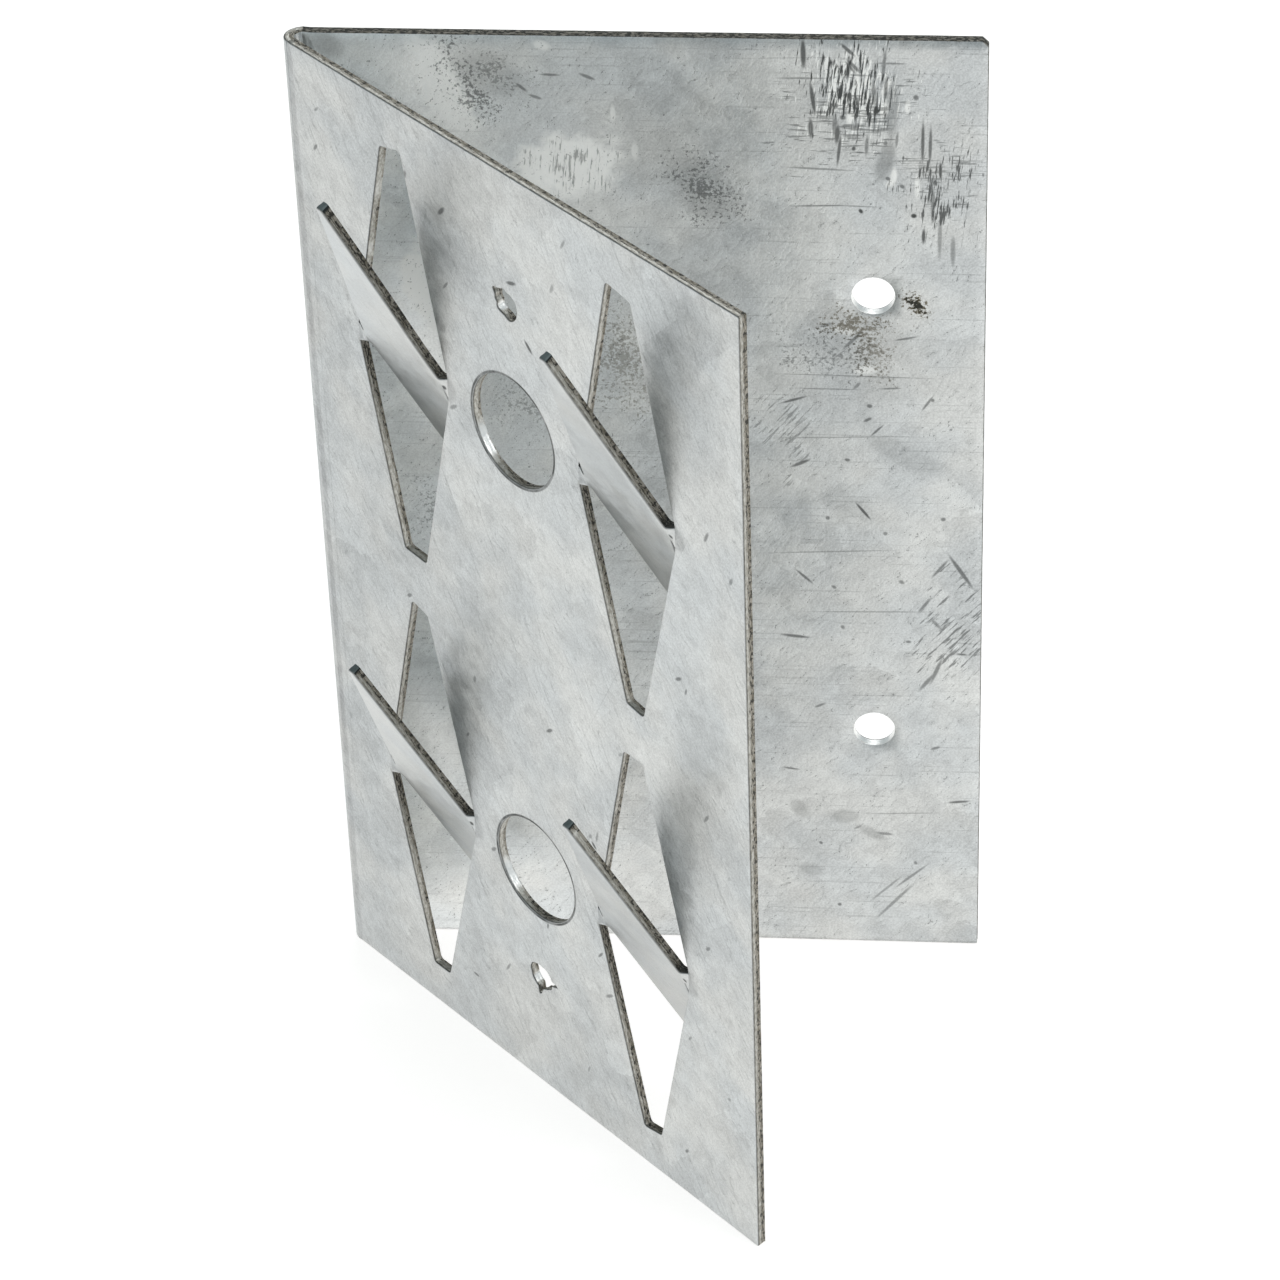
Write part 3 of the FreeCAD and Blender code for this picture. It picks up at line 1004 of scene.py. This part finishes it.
def zinc_pattern(n, blank):
    """Clouds, wiped strokes, faint arcs and spangle, all over the blank."""
    cloud = n.noise(blank, (0.05, 0.05), 2, 0.5, 2, sided=True)
    mottle = n.noise(blank, (0.21, 0.21), 3, 0.6, 4, sided=True)
    bend = n.vector("MULTIPLY", mottle, (5, 5, 0))
    wiped = n.vector("ADD", n.turned(blank, STROKE_TURN), bend)
    strokes = n.noise(wiped, (0.24, 1.35), 3, 0.65, 1)
    fine = n.noise(blank, (2.0, 2.0), 1, 0.5, 7)
    arc = n.noise(blank, (0.03, 0.045), 1, 0.4, 15)
    arc = n.maths("ABSOLUTE", n.maths("SUBTRACT", n.maths("FRACT", n.times(arc, 9.0)), 0.5))
    arcs = n.times(n.span(arc, 0.045, 0.0), n.span(strokes, 0.5, 0.65))
    crystals = n.add("ShaderNodeVectorMath", {0: bend, 3: 3.2}, operation="SCALE").outputs[0]
    spangle = n.add("ShaderNodeTexVoronoi", {
        "Vector": n.vector("ADD", blank, crystals), "Scale": 0.075}, voronoi_dimensions="2D")
    spangle = n.add("ShaderNodeSeparateXYZ", {0: spangle.outputs["Color"]}).outputs["X"]
    return Pattern(cloud, mottle, strokes, fine, arcs, spangle)


def zinc_shift(n, blank, pattern, look):
    """How much lighter or darker than even zinc each place is."""
    shift = n.total(
        n.span(pattern.cloud, 0.3, 0.7, -0.04, 0.04), n.span(pattern.mottle, 0.3, 0.7, -0.07, 0.07),
        n.span(pattern.spangle, 0, 1, -0.05, 0.05), n.span(pattern.fine, 0.3, 0.7, -0.06, 0.06),
        n.times(n.span(pattern.strokes, 0.42, 0.72, 0.25, -1.0), look.strokes),
        n.times(pattern.arcs, -0.10))
    hair = n.noise(n.turned(blank, math.radians(look.hair_turn)), (0.022, 1.25), 1, 0.5, 31)
    hair = n.times(n.span(hair, 0.665, 0.73), n.span(pattern.mottle, 0.35, 0.6))
    return n.total(shift, n.times(hair, -look.hairs))


def feed_colour_and_metal(surface, cloud, bright):
    """The zinc's grey with its painted light at the fold, then its light and brown marks, then its dark
    marks of grime and painted shade over that.
    """
    n = surface.n
    metallic = n.shader.inputs["Metallic"]
    metallic.default_value = 1.0
    colour = n.mix(n.span(cloud, 0.35, 0.65), BLUISH_ZINC, WARM_ZINC)
    colour = n.add("ShaderNodeVectorMath", {0: colour, 3: bright}, operation="SCALE").outputs[0]
    if surface.has("light"):
        colour = n.mix(surface.light, colour, RUBBED_ZINC)
        n.feed(metallic, n.span(surface.light, 0.0, 1.0, 1.0, 0.5))
    if surface.has("brown"):
        colour = n.mix(surface.brown, colour, STAIN)
    n.feed(n.shader.inputs["Base Color"], n.mix(surface.dark, colour, GRIME_AND_SHADE))


def zinc_material(name, scuff, look, at_fold, scale=(1 / MM, 1 / MM, 1)):
    """Dull hot-dip zinc: its pattern over the blank, then its own marks.

    at_fold is the side that has the marks and how much painted light it gets towards the fold: lighter
    on the back leaf's inner face, standing in for light bounced into the fold, and darker on the front
    leaf's outer face.
    """
    n = Nodes(name)
    place = n.attribute("sheet_place", scale)
    parts = n.add("ShaderNodeSeparateXYZ", {0: place}).outputs
    across, lip = parts["X"], parts["Z"]
    flat = n.vector("MULTIPLY", place, (1, 1, 0))
    blank = n.attribute("sheet_place", (1 / MM, 1 / MM, 0.5))
    pattern = zinc_pattern(n, blank)
    shift = zinc_shift(n, blank, pattern, look)
    side, gain = at_fold
    this_side = n.span(lip, 0.0, 0.7 * side)
    # Painted light: the back leaf's inner face is lightened towards the fold for light bounced into it;
    # the front leaf's negative gain paints its outer face darker there.
    painted_fold_shading = n.times(this_side, n.span(across, 5, 100, gain, 0.0))
    bright = n.times(n.total(n.times(shift, look.contrast), painted_fold_shading, 1.0), look.tone)

    surface = Surface(n, flat, pattern.mottle)
    scuff(surface)
    surface.keep_to(this_side)
    pits = n.total(pattern.strokes, n.times(pattern.fine, 0.9), n.times(pattern.mottle, 0.3))
    surface.darken(n.times(n.span(pits, 1.32, 1.46), look.pits))
    # Painted shade: the rounded lip along every cut edge darkens towards the cut, standing in for the
    # shade on the rolled-over edge.
    surface.darken(n.span(n.maths("ABSOLUTE", lip), 0.0, 0.6, 0.72, 0.0))

    feed_colour_and_metal(surface, pattern.cloud, bright)
    n.feed(n.shader.inputs["Roughness"], n.total(
        n.span(pattern.mottle, 0.3, 0.7, 0.34, 0.42), n.times(pattern.spangle, 0.04),
        n.times(surface.dark, 0.15)))
    height = n.total(n.times(pattern.mottle, 0.14), n.times(pattern.strokes, -0.04))
    bump = n.add("ShaderNodeBump", {"Height": height, "Strength": 1.0, "Distance": MM})
    n.feed(n.shader.inputs["Normal"], bump.outputs[0])
    return n.material


def cut_material():
    """Sheared steel: burnished cream where the punch slid, torn and dark where it broke."""
    n = Nodes("sheared_edge")
    place = n.attribute("cut_place", (1000, 1, 0))
    parts = n.add("ShaderNodeSeparateXYZ", {0: n.attribute("cut_place", (1, 1, 1))}).outputs
    across, wear = parts["Y"], parts["Z"]
    streaks = n.noise(place, (0.35, 2.2), 3, 0.6, 5)
    specks = n.noise(place, (0.8, 1.5), 3, 0.65, 9)
    edge = n.total(n.span(streaks, 0.3, 0.7, -0.4, 0.4), n.times(wear, 2.4), -1.35)
    torn = n.span(n.maths("SUBTRACT", edge, across), -0.25, 0.25)
    cream = n.mix(n.span(specks, 0.35, 0.62), (0.30, 0.285, 0.25, 1), (0.52, 0.51, 0.47, 1))
    # Near white where the wear is lowest; on the holes' walls this is the painted highlight.
    cream = n.mix(n.span(wear, 0.05, 0.25), (0.95, 0.95, 0.93, 1), cream)
    bits = n.mix(n.span(streaks, 0.4, 0.6), (0.21, 0.19, 0.15, 1), (0.40, 0.375, 0.33, 1))
    black = n.span(n.total(specks, n.times(wear, 0.12)), 0.54, 0.70)
    colour = n.mix(torn, cream, n.mix(black, bits, (0.055, 0.052, 0.045, 1)))
    outline = n.times(n.span(across, 0.66, 1.0, 0.0, 0.9), n.span(streaks, 0.3, 0.6, 1.0, 0.6))
    colour = n.mix(outline, colour, (0.07, 0.068, 0.06, 1))
    colour = n.mix(n.span(wear, 0.98, 1.3), colour, (0.03, 0.035, 0.035, 1))
    colour = n.mix(n.span(wear, 1.7, 1.9), colour, (0.15, 0.18, 0.18, 1))
    n.feed(n.shader.inputs["Base Color"], colour)
    n.shader.inputs["Metallic"].default_value = 0.85
    n.feed(n.shader.inputs["Roughness"], n.span(torn, 0, 1, 0.36, 0.6))
    bump = n.add("ShaderNodeBump", {"Height": specks, "Strength": 0.7, "Distance": 0.12 * MM})
    n.feed(n.shader.inputs["Normal"], bump.outputs[0])
    return n.material


# ---- Stage ----

CAMERA_AIM = Vector((1.37, 2.01, 129.47)) * MM
CAMERA_DISTANCE = 1.15288
CAMERA_AZIMUTH = math.radians(5.650)
CAMERA_ELEVATION = math.radians(37.150)
CAMERA_ROLL = math.radians(-2.106)
CAMERA_LENS = 146.05
CAMERA_SENSOR = 36.0


def make_camera():
    """The camera at the viewing angle, with no shift."""
    data = bpy.data.cameras.new("camera")
    data.lens = CAMERA_LENS
    data.sensor_width = CAMERA_SENSOR
    camera = bpy.data.objects.new("camera", data)
    bpy.context.scene.collection.objects.link(camera)
    flat = math.cos(CAMERA_ELEVATION)
    back = Vector((
        math.sin(CAMERA_AZIMUTH) * flat, -math.cos(CAMERA_AZIMUTH) * flat, math.sin(CAMERA_ELEVATION)))
    level = (-back).to_track_quat("-Z", "Y").to_matrix().to_4x4()
    roll = Matrix.Rotation(CAMERA_ROLL, 4, "Z")
    camera.matrix_world = Matrix.Translation(CAMERA_AIM + back * CAMERA_DISTANCE) @ level @ roll
    bpy.context.scene.camera = camera


def make_floor():
    """A wide pale floor, lit a little from within like a light table."""
    size = 6.0
    bm = bmesh.new()
    bmesh.ops.create_grid(bm, x_segments=1, y_segments=1, size=size / 2)
    mesh = bpy.data.meshes.new("floor")
    bm.to_mesh(mesh)
    bm.free()
    floor = bpy.data.objects.new("floor", mesh)
    bpy.context.scene.collection.objects.link(floor)
    n = Nodes("pale_floor")
    n.shader.inputs["Base Color"].default_value = (0.6, 0.6, 0.6, 1)
    n.shader.inputs["Roughness"].default_value = 0.9
    n.shader.inputs["Emission Color"].default_value = (1.0, 0.985, 0.965, 1)
    n.shader.inputs["Emission Strength"].default_value = 0.74
    mesh.materials.append(n.material)


def make_area_light(name, place, aim, size, power):
    """A soft square light that points at a place."""
    data = bpy.data.lights.new(name, "AREA")
    data.size = size
    data.energy = power
    light = bpy.data.objects.new(name, data)
    bpy.context.scene.collection.objects.link(light)
    light.location = place
    light.rotation_mode = "QUATERNION"
    light.rotation_quaternion = (Vector(aim) - Vector(place)).to_track_quat("-Z", "Y")


def make_lights():
    """A pale room with two soft lights, one at the side and one behind."""
    world = bpy.data.worlds.new("studio")
    bpy.context.scene.world = world
    world.use_nodes = True
    background = world.node_tree.nodes["Background"]
    background.inputs["Color"].default_value = (0.87, 0.955, 0.985, 1)
    background.inputs["Strength"].default_value = 0.52
    bpy.context.scene.view_settings.view_transform = "Standard"
    make_area_light("side_light", (1.15, -0.42, 1.45), (0.02, 0, 0.05), 0.9, 7)
    make_area_light("back_light", (0.1, 1.3, 1.1), (0, 0, 0.12), 1.0, 4)


# ---- The bracket ----

cut = cut_material()
plain_zinc = zinc_material("zinc_fold", leave_plain, Look(1.0, 0.10, 0.88, 0.3, 0.1, 80), (1, 0))
front_zinc = zinc_material(
    "zinc_front_leaf", scuff_front, Look(1.2, 0.07, 0.99, 0.3, 0.12, 62), (1, -0.10))
back_zincs = []
for number, zone in enumerate(BACK_ZONES):
    back_zincs.append(zinc_material(
        f"zinc_back_leaf_{number}", functools.partial(scuff_back, zone=zone),
        Look(1.25, 0.05, 1.02, 0.5, 0.15, 0), (-1, 0.45), (-1 / MM, 1 / MM, 1)))
prong_zinc = zinc_material("zinc_prong", paint_neck_shadows, Look(0.7, 0.05, 1.0, 0.2, 0.1, 62), (1, 0))
plates = plate_nodes()
front_nodes = sorted(node for node in frame["nodes"] if node.startswith("front_leaf_"))

pieces = [
    (make_back_leaf(), back_zincs, ["back_leaf"]),
    (make_fold(), [plain_zinc], ["fold_bend"]),
    (make_front_leaf(plates), [front_zinc], front_nodes),
]
for node, centre in plates.items():
    pieces.append((make_plate(node, centre), [prong_zinc], [node]))
for piece, zincs, nodes in pieces:
    for material in (zincs[0], cut, *zincs[1:]):
        piece.data.materials.append(material)
    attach(piece, "root")
    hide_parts(*nodes)

assign_zones(pieces[0][0])

make_camera()
make_floor()
make_lights()
